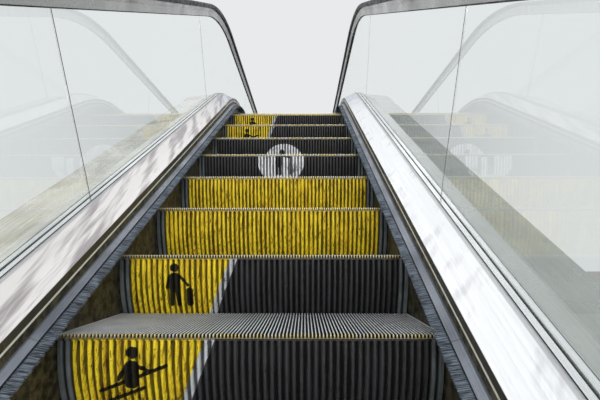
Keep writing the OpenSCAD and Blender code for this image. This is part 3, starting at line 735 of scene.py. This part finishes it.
# Thin strips along the run, each section given as (x, n)
trim = {
    "darkBand": ((0.5032, 0.0975), (0.5038, 0.0975), (0.5038, 0.1190), (0.5032, 0.1190)),
    "creamBead": ((0.5022, 0.0920), (0.5039, 0.0920), (0.5039, 0.0972), (0.5026, 0.0972)),
    "holderLine": ((0.4780, 0.0590), (0.4792, 0.0590), (0.4792, 0.0618), (0.4784, 0.0618)),
    "innerLine": ((0.6078, 0.1652), (0.6100, 0.1652), (0.6098, 0.1671), (0.6080, 0.1671)),
    "innerGasket": ((0.6276, 0.1640), (0.6299, 0.1640), (0.6299, 0.1680), (0.6278, 0.1668)),
    "outerGasket": ((0.6401, 0.1480), (0.6409, 0.1480), (0.6420, 0.1664), (0.6401, 0.1672)),
    "outerLine": ((0.6590, 0.1652), (0.6612, 0.1652), (0.6608, 0.1668), (0.6594, 0.1668)),
    # it covers the sides of the steps on the incline
    "skirtFoot": ((0.5041, -0.2350), (0.5081, -0.2350), (0.5081, -0.1090), (0.5041, -0.1090)),
    "footStart": 2.250,
}
trimRun = (-path["newelRun"], pathEnd + path["newelRun"])
footRun = (trim["footStart"], upperTangent)


def strip(name, key, side, run):
    return carryAlongPath(name, mirrored(trim[key], side), *run)


for side in ("left", "right"):
    finished(strip(f"dark_band_{side}", "darkBand", side, trimRun), darkBand, "skirt")
    finished(strip(f"skirt_foot_{side}", "skirtFoot", side, footRun), skirtPaint, "skirt")
    finished(strip(f"cream_bead_{side}", "creamBead", side, trimRun), creamLine, "deck_steel")
    finished(strip(f"outer_gasket_{side}", "outerGasket", side, trimRun), greyGasket, "glass")
    lines = [strip("line", key, side, trimRun) for key in ("innerLine", "innerGasket", "outerLine")]
    lines.append(strip("line", "holderLine", side, brushRun))
    finished(joined(f"gaskets_{side}", lines), blackRubber, "handrail_rubber")
print("trim laid")


# Black seals between the panes of glass, and under the guide of the handrail
seals = {
    "paneJoints": (0.420, upperTangent - 4.315, upperTangent - 2.310, upperTangent - 0.305, pathEnd - 0.420),
    "paneWidth": 0.0036,
    "pane": ((0.6312, 0.1050), (0.6388, 0.1050), (0.6388, 0.8280), (0.6312, 0.8280)),
    "guideIn": ((0.6236, 0.7868), (0.6299, 0.7868), (0.6299, 0.7899), (0.6236, 0.7899)),
    "guideOut": ((0.6401, 0.7868), (0.6464, 0.7868), (0.6464, 0.7899), (0.6401, 0.7899)),
    "turn": math.radians(150), "turnSteps": 30,
}
newel = {"y": path["landing"] - path["newelRun"], "level": path["lowLevel"] + 0.470}  # middle of the lower ones


def newelSeal(section):  # the same line carried round the lower newel
    piece = outline("seal", [(x, newel["y"], path["lowLevel"] + n) for x, n in section])
    startEdit(piece)
    bpy.ops.mesh.spin(steps=seals["turnSteps"], angle=-seals["turn"], axis=(1, 0, 0),
                      center=(0, newel["y"], newel["level"]))
    closeUp()
    return piece


for side in ("left", "right"):
    between = [crossBar("seal", mirrored(seals["pane"], side), s, seals["paneWidth"]) for s in seals["paneJoints"]]
    finished(joined(f"pane_seals_{side}", between), blackRubber, "glass")
    under = [carryAlongPath("seal", mirrored(seals[key], side), *trimRun) for key in ("guideIn", "guideOut")]
    finished(joined(f"guide_seals_{side}", under), blackRubber, "guide_steel")
turned = [newelSeal(mirrored(seals[key], side)) for key in ("guideIn", "guideOut") for side in ("left", "right")]
atBothEnds(joined("seals", turned), "newel_seals", blackRubber, "guide_steel")
print("seals set")


seams = {
    "deckPlaces": (-0.350, 1.050, 2.150, 5.960, 6.850, pathEnd + 0.350),
    "skirtPlaces": (0.900, 2.700, 4.500, 6.300, 7.600),
    "deckFace": ((0.5042, 0.1206), (0.6039, 0.1644), (0.6075, 0.1644),
                 (0.6075, 0.1634), (0.6041, 0.1634), (0.5046, 0.1198)),
    "clampIn": ((0.6084, 0.1664), (0.6108, 0.1664), (0.6108, 0.1654), (0.6084, 0.1654)),
    "clampOut": ((0.6440, 0.1664), (0.6588, 0.1664), (0.6588, 0.1654), (0.6440, 0.1654)),
    "clampMid": ((0.6134, 0.1664), (0.6260, 0.1664), (0.6260, 0.1654), (0.6134, 0.1654)),
    "outerFace": ((0.6625, 0.1584), (0.8818, 0.1385), (0.8818, 0.1375), (0.6625, 0.1574)),
    "holderFace": ((0.5036, 0.0684), (0.4979, 0.0684), (0.4788, 0.0614),
                   (0.4788, 0.0604), (0.4981, 0.0674), (0.5036, 0.0674)),
    "skirtFace": ((0.5037, -0.0950), (0.5042, -0.0950), (0.5042, 0.0915), (0.5037, 0.0915)),
    "deckWidth": 0.0016, "skirtWidth": 0.0010, "holderWidth": 0.0012,
}


def seamBars(key, side, places, width):
    return [crossBar("seam", mirrored(seams[key], side), s, width) for s in places]


segments = int((brushRun[1] - brushRun[0]) / brush["segment"])
holderPlaces = [brush["margin"] + k * brush["segment"] for k in range(1, segments + 1)]
for side in ("left", "right"):
    bars = []
    for key in ("deckFace", "clampIn", "clampMid", "clampOut", "outerFace"):
        bars += seamBars(key, side, seams["deckPlaces"], seams["deckWidth"])
    bars += seamBars("skirtFace", side, seams["skirtPlaces"], seams["skirtWidth"])
    bars += seamBars("holderFace", side, holderPlaces, seams["holderWidth"])
    finished(joined(f"deck_seams_{side}", bars), jointShade, "deck_steel")

    # rubber ends that lap over the brush holders
    cap = brush["endCap"]
    near, far = sorted((signOf(side) * cap["inner"], signOf(side) * cap["outer"]))
    ends = [layOnPath(box("end", (near, s, cap["foot"]), (far, s + cap["long"], cap["top"]), cap["bevel"]))
            for s in (brushRun[0] + cap["lap"] - cap["long"], brushRun[1] - cap["lap"])]
    finished(joined(f"brush_ends_{side}", ends), blackRubber, "handrail_rubber")
print("seams and brush ends made")


# Ribs of the floor plates: one rib in rows, in three fields (start, end, half width) before each comb
floorRibs = {"fields": ((0.014, 0.446, 0.876), (0.454, 0.886, 0.876), (0.908, 1.420, 0.494)),
             "pitch": 0.0095, "width": 0.0030, "height": 0.0010, "sunk": 0.0004}


def ribField(start, end, half):
    rib = box("ribs", (-half, start, floorLevel - floorRibs["sunk"]),
              (-half + floorRibs["width"], end, floorLevel + floorRibs["height"]))
    return repeated(rib, int((2 * half - floorRibs["width"]) / floorRibs["pitch"]) + 1, (floorRibs["pitch"], 0, 0))


# Joints across the floor, each given as (y, half width)
plates = {"joints": ((0.450, 0.888), (0.897, 0.500), (1.4245, 0.500)),
          "gap": 0.002, "sunk": 0.0004, "proud": 0.0002}


def plateJoints():
    bars = [box("joint", (-half, y - plates["gap"] / 2, floorLevel - plates["sunk"]),
                (half, y + plates["gap"] / 2, floorLevel + plates["proud"])) for y, half in plates["joints"]]
    return joined("plate_joints", bars)


comb = {
    "half": 0.500,
    "rampStart": path["landing"] - 0.110, "rampEnd": path["landing"] - 0.064, "rampDrop": 0.0147,
    "segments": 5, "segmentWidth": 0.200, "jointPlaces": (-0.300, -0.100, 0.100, 0.300),
    "joint": 0.0014, "sunk": 0.0006, "proud": 0.0003, "backJoint": (0.0030, 0.0015),
    "screwX": -0.460, "screwY": path["landing"] - 0.128, "screwPair": 0.120,
    "screwRadius": 0.006, "screwDepth": 0.0012, "screwProud": 0.0005, "socketDepth": 0.0008,
}


def combSegmentJoints():
    # down the ramp between the segments, and across behind them
    y0, y1 = comb["rampStart"], comb["rampEnd"]
    z0, z1 = floorLevel, floorLevel - comb["rampDrop"]
    bars = []
    for x in comb["jointPlaces"]:
        edge = x - comb["joint"] / 2
        bar = outline("joint", [(edge, y0, z0 + comb["proud"]), (edge, y1, z1 + comb["proud"]),
                                (edge, y1, z1 - comb["sunk"]), (edge, y0, z0 - comb["sunk"])])
        startEdit(bar)
        bpy.ops.mesh.extrude_region_move(TRANSFORM_OT_translate={"value": (comb["joint"], 0, 0)})
        closeUp()
        bars.append(bar)
    back, front = comb["backJoint"]
    bars.append(box("joint", (-comb["half"], y0 - back, z0 - comb["sunk"]),
                    (comb["half"], y0 - front, z0 + comb["proud"])))
    return joined("comb_joints", bars)


def combScrews():
    bpy.ops.object.select_all(action="DESELECT")
    bpy.ops.mesh.primitive_cylinder_add(vertices=16, radius=comb["screwRadius"], depth=comb["screwDepth"])
    screw = bpy.context.object
    startEdit(screw)
    bpy.ops.mesh.select_all(action="DESELECT")
    bpy.ops.mesh.select_mode(type="FACE")
    endEdit()
    for face in screw.data.polygons:
        face.select = face.normal.z > 0.9
    bpy.context.view_layer.objects.active = screw
    bpy.ops.object.mode_set(mode="EDIT")
    bpy.ops.mesh.inset(thickness=comb["screwRadius"] * 0.5)
    bpy.ops.mesh.extrude_region_move(TRANSFORM_OT_translate={"value": (0, 0, -comb["socketDepth"])})
    bpy.ops.mesh.select_mode(type="VERT")
    endEdit()
    moved(screw, (comb["screwX"], comb["screwY"], floorLevel + comb["screwProud"]))
    repeated(screw, 2, (comb["screwPair"], 0, 0))
    repeated(screw, comb["segments"], (comb["segmentWidth"], 0, 0))
    return screw


ribs = [ribField(*field) for field in floorRibs["fields"]]
atBothEnds(joined("ribs", ribs), "floor_ribs", ribSteel, "floor_steel")
atBothEnds(joined("joints", [plateJoints(), combSegmentJoints()]), "plate_joints", jointShade, "floor_steel")
atBothEnds(combScrews(), "comb_screws", screwSteel, "comb")
print("landings ribbed")


# A rubber collar where the handrail goes into each newel cap
mouth = {
    "radius": 0.395, "angle": math.radians(20.5),  # where it sits, seen from the middle of the newel
    "glassX": 0.635,
    "half": (0.053, 0.028), "corner": 0.012, "cornerSteps": 3, "ring": 0.0105,
    "depth": 0.014, "bevel": 0.002,
}


def collar():
    (a, b), c = mouth["half"], mouth["corner"]
    corners = []
    for cx, cz, start in ((a - c, b - c, 0), (c - a, b - c, 90), (c - a, c - b, 180), (a - c, c - b, 270)):
        for step in range(mouth["cornerSteps"] + 1):
            angle = math.radians(start + 90 * step / mouth["cornerSteps"])
            corners.append((cx + c * math.cos(angle), 0, cz + c * math.sin(angle)))
    ring = outline("collar", corners, "NGON")
    startEdit(ring)
    bpy.ops.mesh.inset(thickness=mouth["ring"])
    bpy.ops.mesh.delete(type="FACE")
    endEdit()
    wall = ring.modifiers.new("wall", "SOLIDIFY")
    wall.thickness, wall.offset = mouth["depth"], 0
    edge = ring.modifiers.new("edge", "BEVEL")
    edge.width, edge.segments = mouth["bevel"], 2
    for name in ("wall", "edge"):
        bpy.ops.object.modifier_apply(modifier=name)
    return ring


oneCollar = collar()
reach, drop = mouth["radius"] * math.sin(mouth["angle"]), mouth["radius"] * math.cos(mouth["angle"])
pair = [moved(copied(oneCollar, "collar"), (x, newel["y"] - reach, newel["level"] - drop), (-mouth["angle"], 0, 0))
        for x in (-mouth["glassX"], mouth["glassX"])]
bpy.data.objects.remove(oneCollar)
atBothEnds(joined("collars", pair), "collars", blackRubber, "handrail_rubber")
print("collars set")


# Joints of the cladding sheets, with screws beside them
cladding = {
    "face": 0.8857, "inner": 0.8847, "outer": 0.8863,  # each joint lies from inside the face to just outside it
    "gap": 0.003,
    "places": (2.450, 4.030, 5.600), "top": 0.125, "foot": -0.790,
    "levelPlaces": ((8.300, highLevel - 1.040, highLevel + 0.120), (1.900, -0.200, 0.190)),  # y, foot, top
    "screwRadius": 0.0050, "screwDepth": 0.0016,
    "screwCount": 6, "screwStep": 0.150, "screwFoot": 0.040, "screwAway": 0.025,
}
acrossCladding = ((cladding["inner"], cladding["top"]), (cladding["outer"], cladding["top"]),
                  (cladding["outer"], cladding["foot"]), (cladding["inner"], cladding["foot"]))


def levelJoint(side, y, foot, top):
    near, far = sorted((signOf(side) * cladding["inner"], signOf(side) * cladding["outer"]))
    return box("joint", (near, y - cladding["gap"] / 2, foot), (far, y + cladding["gap"] / 2, top))


for side in ("left", "right"):
    bars = [crossBar("joint", mirrored(acrossCladding, side), s, cladding["gap"]) for s in cladding["places"]]
    bars += [levelJoint(side, *place) for place in cladding["levelPlaces"]]
    finished(joined(f"cladding_joints_{side}", bars), jointShade, "cladding_paint")

    # one screw, a row of them, a row on the other side of the joint, then both at every joint
    bpy.ops.object.select_all(action="DESELECT")
    bpy.ops.mesh.primitive_cylinder_add(vertices=12, radius=cladding["screwRadius"], depth=cladding["screwDepth"])
    first = (signOf(side) * cladding["face"], -cladding["screwAway"], cladding["foot"] + cladding["screwFoot"])
    screw = moved(bpy.context.object, first, (0, math.pi / 2, 0))
    repeated(screw, cladding["screwCount"], (0, 0, cladding["screwStep"]))
    repeated(screw, 2, (0, 2 * cladding["screwAway"], 0))
    rows = []
    for s in cladding["places"]:
        row = copied(screw, "screws")
        for vertex in row.data.vertices:
            vertex.co.y += s
        rows.append(layOnPath(row))
    bpy.data.objects.remove(screw)
    finished(joined(f"cladding_screws_{side}", rows), screwSteel, "cladding_paint")
print("cladding jointed")


view = {"place": (0.140, 3.6277, 1.090), "pitch": 0.1279, "yaw": 0.0094, "lens": 25.64, "sensor": 36.0}


def setCamera():
    data = bpy.data.cameras.new("camera")
    data.lens, data.sensor_width = view["lens"], view["sensor"]
    data.clip_start = 0.01
    camera = bpy.data.objects.new("camera", data)
    bpy.context.scene.collection.objects.link(camera)
    camera.location = view["place"]
    camera.rotation_euler = (math.pi / 2 + view["pitch"], 0, view["yaw"])
    bpy.context.scene.camera = camera


lamps = {
    "ceiling_light": {"place": (0, 6.0, 7.0), "aim": (0, 5.8, 1.0), "size": (5.0, 9.0),
                      "power": 150, "spread": math.radians(180)},
    "front_light": {"place": (0.4, -4.5, 4.9), "aim": (0, 5.6, 1.8), "size": (7.0, 4.0),
                    "power": 162, "spread": math.radians(80)},
}


def softLight(name):
    wanted = lamps[name]
    data = bpy.data.lights.new(name, "AREA")
    data.shape, (data.size, data.size_y) = "RECTANGLE", wanted["size"]
    data.energy, data.spread = wanted["power"], wanted["spread"]
    lamp = bpy.data.objects.new(name, data)
    bpy.context.scene.collection.objects.link(lamp)
    lamp.location = wanted["place"]
    away = Vector(wanted["aim"]) - Vector(wanted["place"])
    lamp.rotation_euler = away.to_track_quat("-Z", "Y").to_euler()


room = {"glow": (1.0, 0.99, 0.97, 1), "strength": 0.62, "backdrop": paint(232, 234, 236)}


def paleSurroundings():
    world = bpy.data.worlds.new("pale_room")
    bpy.context.scene.world = world
    world.use_nodes = True
    tree = world.node_tree
    tree.nodes.clear()
    out = tree.nodes.new("ShaderNodeOutputWorld")
    rays = tree.nodes.new("ShaderNodeLightPath")
    seen = reckon(tree, "MAXIMUM", rays.outputs["Is Camera Ray"], rays.outputs["Is Glossy Ray"])
    seen = reckon(tree, "MAXIMUM", seen, rays.outputs["Is Transmission Ray"])
    glow, backdrop = (tree.nodes.new("ShaderNodeBackground") for _ in range(2))
    glow.inputs[0].default_value = room["glow"]
    glow.inputs[1].default_value = room["strength"]
    backdrop.inputs[0].default_value = room["backdrop"]
    either = tree.nodes.new("ShaderNodeMixShader")
    tree.links.new(seen, either.inputs[0])
    tree.links.new(glow.outputs[0], either.inputs[1])
    tree.links.new(backdrop.outputs[0], either.inputs[2])
    tree.links.new(either.outputs[0], out.inputs[0])


hallFloor = {"level": 0.0995, "far": 30.0, "half": 0.893, "front": -0.002, "back": 4.350,
             "colour": paint(214, 214, 212)}


def paleFloor():
    # four sheets round the place where the stair sinks through the floor
    level, far, half, front, back = (hallFloor[key] for key in ("level", "far", "half", "front", "back"))
    sheets = (((-far, -far), (-half, far)), ((half, -far), (far, far)),
              ((-half, -far), (half, front)), ((-half, back), (half, far)))
    finish = newFinish("pale_floor", Base_Color=hallFloor["colour"], Roughness=0.85)[0]
    for (x1, y1), (x2, y2) in sheets:
        bpy.ops.object.select_all(action="DESELECT")
        bpy.ops.mesh.primitive_plane_add(size=1, location=((x1 + x2) / 2, (y1 + y2) / 2, level))
        sheet = bpy.context.object
        sheet.scale = (x2 - x1, y2 - y1, 1)
        bpy.ops.object.transform_apply(scale=True)
        sheet.name = "floor"
        sheet.data.materials.append(finish)


setCamera()
paleSurroundings()
for name in lamps:
    softLight(name)
paleFloor()
bpy.context.scene.view_settings.view_transform = "Standard"
